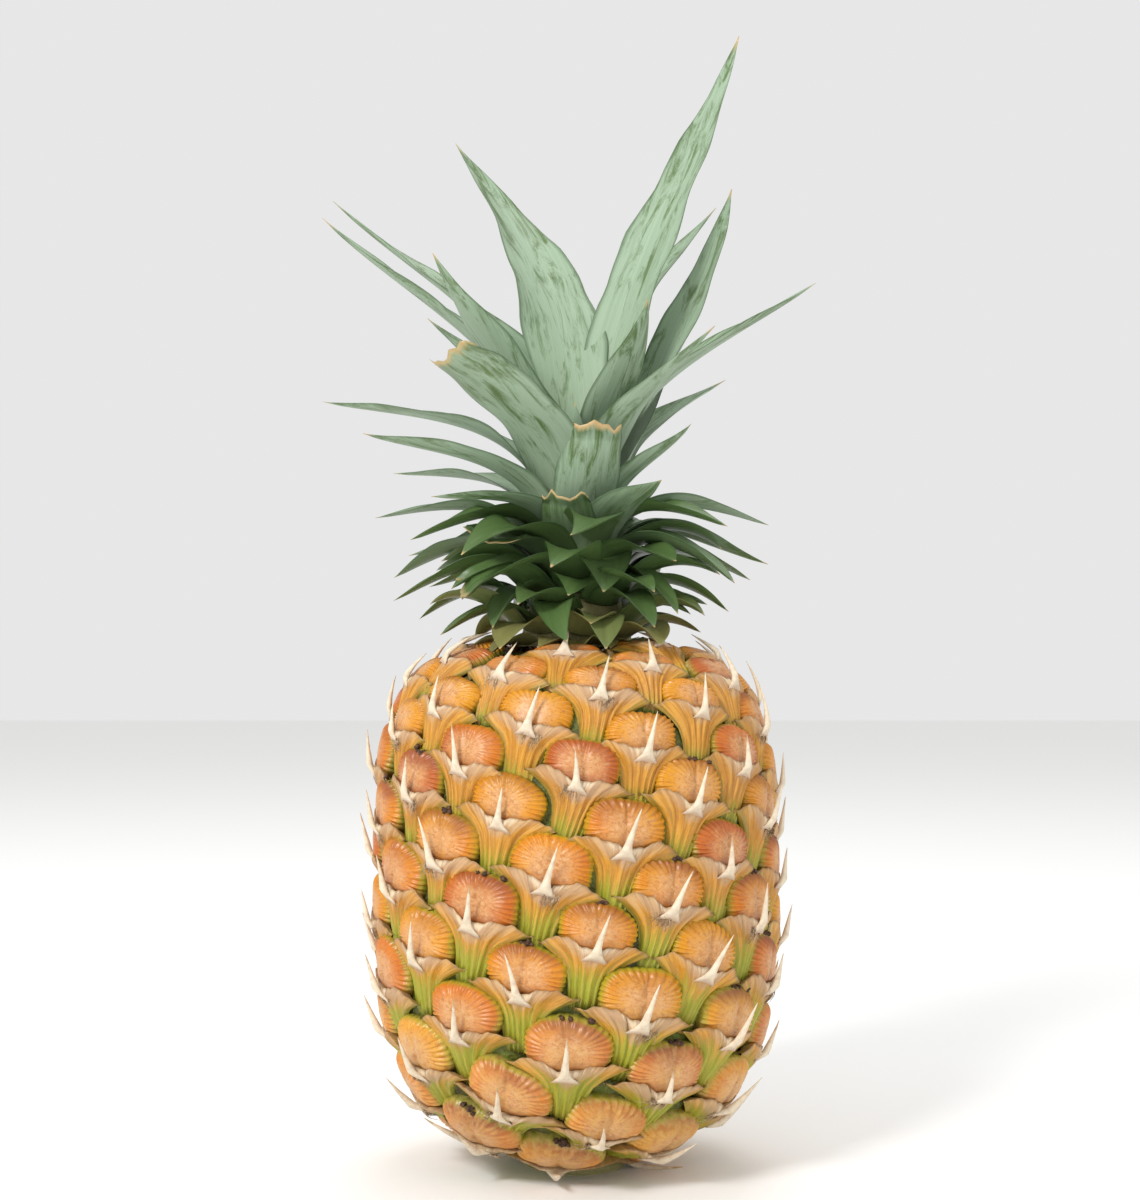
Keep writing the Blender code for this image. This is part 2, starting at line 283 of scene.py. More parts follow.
def write_mesh(name, points, faces, attributes=None):
    """A mesh object at the origin from points in millimetres, with its attributes."""
    mesh = bpy.data.meshes.new(name)
    mesh.from_pydata((np.asarray(points, float) * MM).tolist(), [], [tuple(f) for f in faces])
    for key, values in (attributes or {}).items():
        layer = mesh.attributes.new(key, "FLOAT", "POINT")
        layer.data.foreach_set("value", np.asarray(values, np.float32))
    mesh.polygons.foreach_set("use_smooth", [True] * len(mesh.polygons))
    mesh.update()
    return bpy.data.objects.new(name, mesh)


def show(thing):
    bpy.context.scene.collection.objects.link(thing)
    return thing


def finish_piece(piece, material, slot, *nodes):
    """Gives a piece its material and body and hides the solid nodes it stands for; the slot is not used.
    """
    piece.data.materials.clear()
    piece.data.materials.append(material)
    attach(piece, "root")
    if nodes:
        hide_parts(*nodes)


def grid_faces(rows, columns, closed=False):
    """Quads of a grid whose rows run one after another."""
    faces = []
    wide = columns if closed else columns - 1
    for row in range(rows - 1):
        for column in range(wide):
            a = row * columns + column
            b = row * columns + (column + 1) % columns
            faces.append((a, b, b + columns, a + columns))
    return faces


def smooth(value, under_bract_shade, high):
    """0 below low, 1 above high, smooth between."""
    share = np.clip((value - under_bract_shade) / (high - under_bract_shade), 0, 1)
    return share * share * (3 - 2 * share)


# ---------------------------------------------------------------- the spiral of eyes


def barrel_profile(steps=400):
    """Radius, height, distance from the top and number of eyes down the fruit."""
    up = np.linspace(math.pi / 2, 0, steps)
    down = np.linspace(0, math.pi / 2, steps)[1:]
    r_up = FRUIT_RADIUS * np.cos(up) ** (2 / SQUARE_UP)
    z_up = FRUIT_MIDDLE + HALF_HEIGHT_UP * np.sin(up) ** (2 / SQUARE_UP)
    r_down = FRUIT_RADIUS * np.cos(down) ** (2 / SQUARE_DOWN)
    z_down = FRUIT_MIDDLE - HALF_HEIGHT_DOWN * np.sin(down) ** (2 / SQUARE_DOWN)
    r = np.concatenate([r_up, r_down])
    z = np.concatenate([z_up, z_down])
    length = np.hypot(np.diff(r), np.diff(z))
    middle_r = (r[1:] + r[:-1]) / 2
    middle_z = (z[1:] + z[:-1]) / 2
    area = EYE_AREA * (1 + EYE_AREA_SLOPE * (middle_z - FRUIT_MIDDLE) / HALF_HEIGHT_UP)
    count = np.concatenate([[0], np.cumsum(2 * math.pi * middle_r * length / area)])
    return r, z, np.concatenate([[0], np.cumsum(length)]), count


PROFILE_R, PROFILE_Z, PROFILE_S, PROFILE_N = barrel_profile()


def outline_curve():
    """The fruit's outline from top to bottom as an even open curve."""
    count = 240
    s = np.linspace(0, PROFILE_S[-1], count)
    curve = bpy.data.curves.new("fruit_outline", "CURVE")
    curve.dimensions = "3D"
    spline = curve.splines.new("POLY")
    spline.points.add(count - 1)
    for point, place in zip(spline.points, s):
        r = float(np.interp(place, PROFILE_S, PROFILE_R)) * MM
        z = float(np.interp(place, PROFILE_S, PROFILE_Z)) * MM
        point.co = (r, 0.0, z, 1.0)
    thing = bpy.data.objects.new("fruit_outline", curve)
    show(thing)
    thing.hide_render = True
    return thing


def eye_places():
    """Every eye: distance down, turn, size, tilt and three random traits."""
    rng = np.random.default_rng(SEED)
    rows = []
    for index in range(FIRST_EYE, LAST_EYE + 1):
        s = float(np.interp(index, PROFILE_N, PROFILE_S))
        turn = math.radians(FRONT_EYE_TURN - GOLDEN_ANGLE * (index - FRONT_EYE))
        z = float(np.interp(s, PROFILE_S, PROFILE_Z))
        share = (z - FRUIT_MIDDLE) / HALF_HEIGHT_UP
        size = math.sqrt(1 + EYE_AREA_SLOPE * share)
        jitter = rng.normal(0, 1, 4)
        traits = rng.random(3)
        row = dict(
            s=(s + 0.7 * jitter[0]) * MM,
            turn=turn + 0.012 * jitter[1],
            size=size * (1 + 0.03 * jitter[2]),
            tilt=math.radians(EYE_TILT + 4.0 * jitter[3]),
            tone=traits[0],
            worn=traits[1],
            burnt=traits[2],
        )
        rows.append(row)
    return rows


def eye_points(name, rows, picks):
    """A cloud of points at the origin, one for each eye, that carries the eyes' traits."""
    mesh = bpy.data.meshes.new(name)
    mesh.from_pydata([(0.0, 0.0, 0.0)] * len(rows), [], [])
    for key in rows[0]:
        layer = mesh.attributes.new(key, "FLOAT", "POINT")
        layer.data.foreach_set("value", [row[key] for row in rows])
    layer = mesh.attributes.new("pick", "INT", "POINT")
    layer.data.foreach_set("value", picks)
    return show(bpy.data.objects.new(name, mesh))


class Growth(Sheet):
    """A geometry node tree whose inputs are named."""

    def __init__(self, name, sockets):
        self.group = bpy.data.node_groups.new(name, "GeometryNodeTree")
        super().__init__(self.group)
        face = self.group.interface
        face.new_socket("Geometry", in_out="INPUT", socket_type="NodeSocketGeometry")
        face.new_socket("Geometry", in_out="OUTPUT", socket_type="NodeSocketGeometry")
        self.keys = {}
        for label, kind in sockets:
            made = face.new_socket(label, in_out="INPUT", socket_type="NodeSocket" + kind)
            self.keys[label] = made.identifier
        self.entry = self.tree.nodes.new("NodeGroupInput")
        self.exit = self.tree.nodes.new("NodeGroupOutput")

    def given(self, label):
        return Value(self, self.entry.outputs[label])

    def attribute(self, name, kind="FLOAT"):
        settings = {"data_type": kind}
        return self.node("GeometryNodeInputNamedAttribute", settings, {"Name": name})

    def end(self, geometry):
        self.tree.links.new(geometry.socket, self.exit.inputs[0])

    def grow(self, thing, values):
        """Runs the tree on an object and gives the result as a new plain mesh object."""
        modifier = thing.modifiers.new("grow", "NODES")
        modifier.node_group = self.group
        for label, value in values.items():
            modifier[self.keys[label]] = value
        graph = bpy.context.evaluated_depsgraph_get()
        mesh = bpy.data.meshes.new_from_object(thing.evaluated_get(graph))
        thing.modifiers.remove(modifier)
        return mesh


def wrap_tree():
    """Sets shapes drawn on a flat ground onto the fruit: across, up and raised become a place on it."""
    sheet = Growth(
        "set_on_fruit",
        [
            ("Shapes", "Collection"),
            ("Outline", "Object"),
            ("Ground depth", "Float"),
            ("Size", "Float"),
            ("Unevenness", "Float"),
            ("Uneven scale", "Float"),
            ("Seed", "Float"),
            ("Material", "Material"),
        ],
    )
    shapes = sheet.node(
        "GeometryNodeCollectionInfo",
        None,
        {"Collection": sheet.given("Shapes"), "Separate Children": True, "Reset Children": True},
    )
    size = sheet.attribute("size") * sheet.given("Size")
    placed = sheet.node(
        "GeometryNodeInstanceOnPoints",
        None,
        {
            "Points": sheet.given("Geometry"),
            "Instance": shapes,
            "Pick Instance": True,
            "Instance Index": sheet.attribute("pick", "INT"),
            "Rotation": sheet.vector(0.0, 0.0, sheet.attribute("tilt")),
            "Scale": sheet.vector(size, size, size),
        },
    )
    real = sheet.node("GeometryNodeRealizeInstances", None, {"Geometry": placed})
    position = sheet.node("GeometryNodeInputPosition")
    turn = sheet.attribute("turn")
    seeded = sheet.vector(turn * 3.0, sheet.attribute("tone") * 9.0, sheet.given("Seed"))
    spread = sheet.node(
        "ShaderNodeVectorMath", {"operation": "SCALE"}, {0: position, 3: sheet.given("Uneven scale")}
    )
    where = sheet.node("ShaderNodeVectorMath", {"operation": "ADD"}, {0: spread, 1: seeded})
    random = sheet.node(
        "ShaderNodeTexNoise", None, {"Vector": where, "Scale": 1.0, "Detail": 2.0}, out=1
    )
    push = [(part - 0.5) * sheet.given("Unevenness") for part in sheet.split(random)]
    across, up, raised = [a + b for a, b in zip(sheet.split(position), push)]
    outline = sheet.node("GeometryNodeObjectInfo", None, {"Object": sheet.given("Outline")}, out=4)
    sample = sheet.node(
        "GeometryNodeSampleCurve",
        {"mode": "LENGTH", "use_all_curves": True},
        {"Curves": outline, "Length": sheet.attribute("s") - up},
        out=1,
    )
    tangent = Value(sheet, sample.socket.node.outputs["Tangent"])
    radius, _, height = sheet.split(sample)
    forward, _, down = sheet.split(tangent)
    lift = raised - sheet.given("Ground depth")
    out = radius - down * lift
    angle = turn + across / sheet.maths("MAXIMUM", radius, 0.014)
    place = sheet.vector(
        out * sheet.maths("SINE", angle), -(out * sheet.maths("COSINE", angle)), height + forward * lift
    )
    moved = sheet.node("GeometryNodeSetPosition", None, {"Geometry": real, "Position": place})
    even = sheet.node("GeometryNodeSetShadeSmooth", None, {"Geometry": moved})
    sheet.end(
        sheet.node(
            "GeometryNodeSetMaterial", None, {"Geometry": even, "Material": sheet.given("Material")}
        )
    )
    return sheet


# ---------------------------------------------------------------- shapes of one eye


def dome_shape(name, seed):
    """The upper part of an eye: a low cushion whose rim is drawn into fine pleats."""
    rng = np.random.default_rng(seed)
    upper = np.radians(np.linspace(-24, 204, 116))
    lower = np.radians(np.linspace(204, 336, 14)[1:-1])
    angle = np.concatenate([upper, lower])
    rings = np.array([0.14, 0.28, 0.42, 0.54, 0.64, 0.73, 0.81, 0.88, 0.94, 0.975, 1.0, 1.012])
    phase = rng.random(4) * 2 * math.pi
    beat = DOME_PLEATS * angle + 1.3 * np.sin(2 * angle + phase[0]) + 0.9 * np.sin(5 * angle + phase[1])
    outline = 1 + 0.025 * np.sin(3 * angle + phase[2]) + 0.018 * np.sin(5 * angle + phase[3])
    points = [(0.0, 0.4, 4.3)]
    rims = [0.0]
    lean = rng.normal(0, 0.12)
    for ring in rings:
        pleat = np.cos(beat) * smooth(ring, 0.38, 0.86)
        reach = ring * outline * (1 + 0.012 * np.cos(beat) * smooth(ring, 0.8, 1.0))
        square = (np.abs(np.cos(angle)) ** 2.5 + np.abs(np.sin(angle)) ** 2.5) ** (-1 / 2.5)
        x = DOME_HALF_WIDTH * reach * np.cos(angle) * square
        y = np.where(np.sin(angle) > 0, DOME_UP, DOME_DOWN) * reach * np.sin(angle) * square
        level = DOME_HEIGHT * np.sqrt(np.clip(1 - min(ring, 1.0) ** 4.2, 0, 1))
        z = np.full_like(x, level) + 0.36 * pleat * (1 - 0.6 * smooth(ring, 0.95, 1.0))
        crease = x - lean * y
        z = z - 0.75 * np.exp(-((crease / 0.8) ** 2)) * smooth(y, -6, -1) * (1 - smooth(y, 4, 8))
        z = z + 0.35 * np.exp(-(((np.abs(crease) - 3.6) / 2.2) ** 2)) * (1 - ring)
        z = z - 1.5 * (1 - smooth(y, -8.5, -4.0)) * np.exp(-((x / 6.0) ** 2))
        if ring > 1.0:
            z = z - 2.4
        points += list(zip(x, y, z))
        rims += [float(ring)] * len(angle)
    faces = []
    wide = len(angle)
    for step in range(wide):
        faces.append((0, 1 + step, 1 + (step + 1) % wide))
    for face in grid_faces(len(rings), wide, closed=True):
        a, b, c, d = (corner + 1 for corner in face)
        faces.append((a, d, c, b))
    points = np.array(points)
    across, rise = points[:, 0] / DOME_HALF_WIDTH, points[:, 1] / DOME_UP
    return write_mesh(name, points, faces, {"rim": rims, "across": across, "rise": rise})


def bract_shape(name, seed):
    """The scale under an eye: a thin-edged flap with two wings and a pleated apron."""
    rng = np.random.default_rng(seed)
    across = np.linspace(-1, 1, 45)
    wave = rng.random(8) * 2 * math.pi
    side = np.abs(across)
    ragged = 0.5 * np.sin(9 * across + wave[0]) + 0.35 * np.sin(19 * across + wave[1])
    ragged = ragged + 0.25 * np.sin(37 * across + wave[6])
    margin = -4.6 + 1.9 * smooth(side, 0.05, 0.6) - 2.4 * smooth(side, 0.62, 1.0) + ragged * 0.7
    share = np.array([-0.09, -0.02, 0.0, 0.03, 0.08, 0.15, 0.24, 0.34, 0.45, 0.57, 0.7, 0.83, 0.94, 1.0])
    widths = np.interp(share, [0, 0.1, 0.2, 0.32, 0.5, 0.75, 1.0], [17.4, 14.0, 10.6, 8.0, 6.4, 5.8, 5.2])
    pleats = np.cos(19 * across + 1.2 * np.sin(3 * across + wave[2]) + wave[3])
    fine = np.cos(41 * across + 1.5 * np.sin(4 * across + wave[4]))
    points = []
    rises = []
    edges = []
    for v, wide in zip(share, widths):
        down = max(v, 0.0)
        x = wide * across + 0.5 * np.sin(3 * v + wave[5])
        y = margin * (1 - down) + (BRACT_TIP + 0.8 * fine * (side < 0.95)) * down
        middle = np.interp(down, [0, 0.08, 0.2, 0.4, 0.7, 1.0], [4.95, 5.15, 4.3, 2.9, 1.7, 0.7])
        tips = np.interp(down, [0, 0.2, 1.0], [2.4, 0.9, -0.6])
        arch = 1 - side ** 2.2
        z = tips + (middle - tips) * arch
        z = z + (0.42 * pleats + 0.2 * fine) * smooth(down, 0.01, 0.2) * (1 - 0.6 * smooth(down, 0.8, 1))
        if v == -0.02:
            z = z - 0.32
            y = y - 0.1
        if v < -0.05:
            z = z - 2.6
            y = y - 1.6
        if v == 1.0:
            z = z - 1.6
        points += list(zip(x, y, z))
        rises += [down] * len(across)
        edges += list(math.exp(-down / 0.05) * np.ones_like(across))
    faces = [(a, d, c, b) for a, b, c, d in grid_faces(len(share), len(across))]
    return write_mesh(
        name, points, faces, {"rise": rises, "across": np.tile(across, len(share)), "rim": edges}
    )


def spine_shape(name, seed):
    """The stiff tip of a bract: a flared foot that narrows to a point standing off the eye."""
    rng = np.random.default_rng(seed)
    lift = rng.uniform(-1.2, 1.8)
    length = rng.uniform(0.82, 1.16)
    bend = rng.normal(0, 1.7)
    t = np.linspace(0, 1, 12)
    path_x = bend * t**1.5
    path_y = -7.8 + (3.0 * t + 10.0 * t**1.2) * length
    path_z = 4.3 + 1.5 * smooth(t, 0, 0.3) + (2.4 + lift) * t**1.4
    half = np.interp(t, [0, 0.09, 0.2, 0.34, 0.6, 0.85, 1.0], [3.9, 3.0, 1.7, 1.05, 0.66, 0.36, 0.07])
    thick = np.interp(t, [0, 0.12, 0.3, 0.7, 1.0], [0.5, 0.8, 0.85, 0.4, 0.06])
    ring = np.radians(np.linspace(0, 360, 11)[:-1])
    points = []
    along = []
    for row in range(len(t)):
        ridge = 1 + 0.5 * (np.abs(np.cos(ring)) < 0.4) * (np.sin(ring) > 0)
        x = path_x[row] + half[row] * np.cos(ring) * (1 + 0.08 * np.sin(5 * ring + row))
        z = path_z[row] + thick[row] * np.sin(ring) * ridge
        y = np.full_like(x, path_y[row]) - 0.8 * np.abs(np.cos(ring)) * (1 - t[row]) ** 3
        points += list(zip(x, y, z))
        along += [t[row]] * len(ring)
    count = len(ring)
    faces = grid_faces(len(t), count, closed=True)
    faces.append(tuple(reversed(range(count))))
    faces.append(tuple(range((len(t) - 1) * count, len(t) * count)))
    faces = [tuple(reversed(face)) for face in faces]
    return write_mesh(name, points, faces, {"rise": along})


def strand(points, faces, along, path, radius):
    """Adds one thin three-sided fibre along a path."""
    start = len(points)
    for row, place in enumerate(path):
        share = row / (len(path) - 1)
        thin = radius * (1 - 0.75 * share)
        for corner in range(3):
            angle = 2 * math.pi * corner / 3
            points.append(place + np.array([thin * math.cos(angle), 0.0, thin * math.sin(angle)]))
            along.append(share)
    for row in range(len(path) - 1):
        for corner in range(3):
            a = start + row * 3 + corner
            b = start + row * 3 + (corner + 1) % 3
            faces.append((a, a + 3, b + 3, b))
    faces.append((start, start + 1, start + 2))
    end = start + (len(path) - 1) * 3
    faces.append((end + 2, end + 1, end))


def fibre_shape(name, seed):
    """Loose dry fibres torn from the bract beside the spine's foot."""
    rng = np.random.default_rng(seed)
    points, faces, along = [], [], []
    side = 1 if seed % 2 else -1
    for _ in range(22):
        foot = np.array([side * rng.uniform(-0.8, 4.6), rng.uniform(-8.2, -6.2), rng.uniform(4.4, 5.4)])
        run = rng.uniform(2.2, 5.2)
        drift = rng.normal(0, 1.1) - side * 0.3
        raise_up = rng.uniform(-0.9, 1.0)
        path = []
        for share in np.linspace(0, 1, 5):
            wave = 0.35 * math.sin(6 * share + rng.random())
            rise = raise_up * share - 2.0 * share**2
            path.append(foot + np.array([drift * share + wave, -run * share, rise]))
        strand(points, faces, along, path, rng.uniform(0.1, 0.24))
    return write_mesh(name, points, faces, {"rise": along})


def scab_shape(name, seed):
    """The dry remains of the flower at the top of an eye: a few crumbled lumps."""
    rng = np.random.default_rng(seed)
    points, faces, along = [], [], []
    for _ in range(7):
        centre = np.array([rng.normal(0, 1.7), rng.uniform(6.4, 8.8), rng.uniform(1.6, 3.0)])
        size = rng.uniform(0.5, 1.1)
        start = len(points)
        rows, columns = 4, 7
        points.append(centre + np.array([0, 0, size * 0.8]))
        along.append(1.0)
        for row in range(1, rows + 1):
            polar = math.pi * row / (rows + 1)
            across = math.sin(polar)
            for column in range(columns):
                turn = 2 * math.pi * column / columns
                rough = size * rng.uniform(0.6, 1.25)
                points.append(
                    centre
                    + rough * np.array([across * math.cos(turn), across * math.sin(turn), math.cos(polar)])
                )
                along.append(0.5 + 0.5 * math.cos(polar))
        points.append(centre - np.array([0, 0, size * 0.8]))
        along.append(0.0)
        for column in range(columns):
            faces.append((start, start + 1 + column, start + 1 + (column + 1) % columns))
            end = start + 1 + (rows - 1) * columns
            faces.append((end + (column + 1) % columns, end + column, end + columns))
        for face in grid_faces(rows, columns, closed=True):
            a, b, c, d = (corner + start + 1 for corner in face)
            faces.append((a, d, c, b))
    return write_mesh(name, points, faces, {"rise": along})


def shape_family(name, maker, count, first_seed):
    """A collection that holds several versions of one shape."""
    family = bpy.data.collections.new(name)
    for step in range(count):
        family.objects.link(maker(f"{name}_{step:02d}", first_seed + step))
    return family


# ---------------------------------------------------------------- colours


ORANGE = (0.62, 0.175, 0.010)
DEEP_ORANGE = (0.44, 0.10, 0.014)
PEACH = (0.62, 0.31, 0.12)
GOLD = (0.68, 0.30, 0.012)
LIME = (0.33, 0.37, 0.025)
OLIVE = (0.12, 0.15, 0.012)
SCAB = (0.035, 0.016, 0.010)
PAPER = (0.50, 0.345, 0.235)
CREAM = (0.78, 0.67, 0.50)
TAN = (0.46, 0.28, 0.10)


def zone_of(sheet):
    """Height up the fruit, 0 at the foot and 1 at the shoulder."""
    _, _, z = sheet.split(sheet.place())
    return sheet.step(z, 0.0, 0.150)


def dome_paint():
    """Waxy skin of the eyes: peach middle, orange pleats, yellow-green valley edge, brown scars, and
    painted shade darkening the lower part under the bract's edge.
    """
    p = Paint("eye_skin", 0.34)
    place = p.place()
    rim, rise = p.attribute("rim"), p.attribute("rise")
    across, tone = p.attribute("across"), p.attribute("tone")
    burnt = p.attribute("burnt")
    zone = zone_of(p)
    big = p.noise(place, 90.0, 3.0)
    small = p.noise(place, 480.0, 4.0)
    tiny = p.noise(place, 1900.0, 2.0)
    warmth = tone * 0.6 + big * 0.7 - 0.28
    body = p.mix(p.step(warmth, 0.0, 0.6), GOLD, ORANGE)
    body = p.mix(p.step(warmth + zone * 0.25, 0.45, 1.0), body, DEEP_ORANGE)
    middle = p.step(rim + (small - 0.5) * 0.7, 0.8, 0.2)
    body = p.mix(middle * 0.85, body, PEACH)
    top = p.step(rise + (big - 0.5) * 0.9, 0.2, 0.95) * p.step(burnt, 0.15, 0.75)
    body = p.mix(top * 0.8, body, (0.22, 0.06, 0.02))
    green = p.step(rim + (big - 0.5) * 0.2, 0.84, 0.97) * p.step(1.2 - zone + tone * 0.6, 0.2, 0.9)
    body = p.mix(green * 0.7, body, LIME)
    body = p.mix(p.step(rim, 0.95, 1.0) * 0.9, body, OLIVE)
    # Painted shade: the lower part of each dome, under the bract's edge, is darkened to brown.
    under_bract_shade = p.step(rise + (small - 0.5) * 0.4, -0.1, -0.55)
    body = p.mix(under_bract_shade * 0.6, body, (0.26, 0.09, 0.035))
    fleck = p.step(tiny, 0.62, 0.74) * 0.35
    body = p.mix(fleck, body, (0.40, 0.16, 0.05))
    ray = p.noise(p.vector(across * 14.0, rise * 14.0, tone * 40.0), 0.8, 4.0, 0.7, 0.8)
    body = p.mix(p.step(ray, 0.5, 0.62) * middle * 0.45, body, (0.70, 0.48, 0.26))
    body = p.mix(p.step(ray, 0.47, 0.36) * 0.5, body, (0.30, 0.085, 0.02))
    pale = p.step(0.42 - zone, 0.0, 0.35) * p.step(small, 0.3, 0.7)
    body = p.mix(pale * 0.4, body, (0.72, 0.50, 0.17))
    p.feed("Base Color", body)
    p.feed("Roughness", 0.22 + small * 0.2 + middle * 0.1)
    p.bump(small * 0.7 + tiny * 0.3, 0.35, 0.0006)
    return p.material


def bract_paint():
    """Bracts: papery grey at the spine, golden apron, green towards the lower tip."""
    p = Paint("bract", 0.5)
    place = p.place()
    rise, across, edge = p.attribute("rise"), p.attribute("across"), p.attribute("rim")
    tone, worn = p.attribute("tone"), p.attribute("worn")
    zone = zone_of(p)
    big = p.noise(place, 110.0, 3.0)
    streak_at = p.vector(across * 9.0, rise * 1.2, tone * 20.0)
    streak = p.noise(streak_at, 1.6, 4.0, 0.65)
    small = p.noise(place, 700.0, 4.0)
    gold = p.mix(p.step(big + tone * 0.3, 0.35, 0.85), GOLD, (0.58, 0.25, 0.02))
    gold = p.mix(p.step(streak, 0.42, 0.62) * 0.55, gold, (0.36, 0.17, 0.05))
    green = p.step(rise + (streak - 0.5) * 0.9 + (0.6 - zone) * 0.65, 0.3, 0.75)
    body = p.mix(green * 0.9, gold, LIME)
    side = p.step(p.maths("ABSOLUTE", across) + (streak - 0.5) * 0.4, 0.74, 1.0)
    body = p.mix(side * 0.65, body, (0.16, 0.19, 0.02))
    body = p.mix(p.step(rise + (small - 0.5) * 0.25, 0.74, 0.98), body, OLIVE)
    near = (across * across * 1.5) + rise * rise * 9.0
    paper = p.step(near + (streak - 0.5) * 1.6 - worn * 0.5, 0.8, 0.1)
    body = p.mix(paper * 0.72, body, PAPER)
    body = p.mix(p.step(near * 2.2 + (streak - 0.5) * 1.6, 0.5, 0.0) * 0.8, body, CREAM)
    body = p.mix(p.step(edge + (streak - 0.5) * 0.8, 0.35, 0.95) * 0.7, body, (0.30, 0.17, 0.07))
    dark = p.step(streak, 0.62, 0.72) * paper * p.step(worn, 0.45, 0.75)
    body = p.mix(dark * 0.9, body, (0.09, 0.05, 0.03))
    body = p.mix(p.step(streak, 0.5, 0.42) * 0.22, body, (0.74, 0.50, 0.16))
    p.feed("Base Color", body)
    p.feed("Roughness", 0.38 + paper * 0.35 + small * 0.15)
    p.bump(streak * 0.7 + small * 0.5, 0.5, 0.0009)
    return p.material


def spine_paint():
    """Spines: cream, with a brown tip and fine fibres."""
    p = Paint("spine", 0.55)
    place = p.place()
    rise, tone = p.attribute("rise"), p.attribute("tone")
    small = p.noise(place, 600.0, 3.0)
    body = p.mix(p.step(rise + (small - 0.5) * 0.4, 0.75, 1.0) * p.step(tone, 0.3, 0.8), CREAM, TAN)
    body = p.mix(p.step(small, 0.42, 0.7) * 0.4, body, PAPER)
    body = p.mix(p.step(rise + (small - 0.5) * 0.3, 0.16, 0.0) * 0.7, body, PAPER)
    p.feed("Base Color", body)
    p.bump(small, 0.4, 0.0005)
    return p.material


def fibre_paint():
    """Loose fibres: straw to brown."""
    p = Paint("dry_fibre", 0.7)
    small = p.noise(p.place(), 900.0, 2.0)
    body = p.mix(p.step(small, 0.3, 0.7), (0.62, 0.46, 0.28), (0.20, 0.12, 0.06))
    p.feed("Base Color", body)
    return p.material


def scab_paint():
    """Dry flowers: nearly black with brown and ashy flecks."""
    p = Paint("dry_flower", 0.75)
    small = p.noise(p.place(), 900.0, 4.0)
    body = p.mix(p.step(small, 0.35, 0.75), SCAB, (0.16, 0.07, 0.03))
    body = p.mix(p.step(small, 0.66, 0.78), body, (0.6, 0.5, 0.42))
    p.feed("Base Color", body)
    p.bump(small, 0.8, 0.0008)
    return p.material


def rind_paint():
    """The valleys between the eyes: dark olive with moist green and brown patches."""
    p = Paint("rind", 0.45)
    place = p.place()
    big = p.noise(place, 140.0, 4.0)
    small = p.noise(place, 800.0, 4.0)
    body = p.mix(p.step(big, 0.35, 0.65), OLIVE, (0.055, 0.045, 0.012))
    body = p.mix(p.step(small, 0.5, 0.7) * 0.5, body, (0.22, 0.24, 0.03))
    p.feed("Base Color", body)
    p.feed("Roughness", 0.3 + small * 0.4)
    p.bump(small + big, 0.7, 0.001)
    return p.material


# ---------------------------------------------------------------- the fruit


def build_rind():
    """The skin at valley level, closed over the top and round the hollow at the foot."""
    rows, columns = 150, 200
    s = np.linspace(3.0, PROFILE_S[-1] - 12.0, rows)
    rng = np.random.default_rng(SEED + 1)
    wave = rng.random(6) * 6.28
    points = []
    for place in s:
        r = float(np.interp(place, PROFILE_S, PROFILE_R))
        z = float(np.interp(place, PROFILE_S, PROFILE_Z))
        ahead_r = float(np.interp(place + 1.5, PROFILE_S, PROFILE_R))
        ahead_z = float(np.interp(place + 1.5, PROFILE_S, PROFILE_Z))
        back_r = float(np.interp(place - 1.5, PROFILE_S, PROFILE_R))
        back_z = float(np.interp(place - 1.5, PROFILE_S, PROFILE_Z))
        tangent = np.array([ahead_r - back_r, ahead_z - back_z])
        tangent = tangent / np.linalg.norm(tangent)
        for column in range(columns):
            turn = 2 * math.pi * column / columns
            rough = 0.25 * math.sin(23 * turn + 0.31 * place + wave[0])
            rough += 0.2 * math.sin(37 * turn - 0.23 * place + wave[1])
            lift = rough - EYE_DEPTH - 0.2
            out = r - tangent[1] * lift
            points.append((out * math.sin(turn), -out * math.cos(turn), z + tangent[0] * lift))
    faces = [(a, d, c, b) for a, b, c, d in grid_faces(rows, columns, closed=True)]
    top = len(points)
    points.append((0.0, 0.0, 149.0))
    bottom = len(points)
    points.append((0.0, 0.0, 5.4))
    last = (rows - 1) * columns
    for column in range(columns):
        after = (column + 1) % columns
        faces.append((top, column, after))
        faces.append((bottom, last + after, last + column))
    thing = show(write_mesh("fruit_rind", points, faces))
    finish_piece(thing, rind_paint(), "fruit", "fruit")


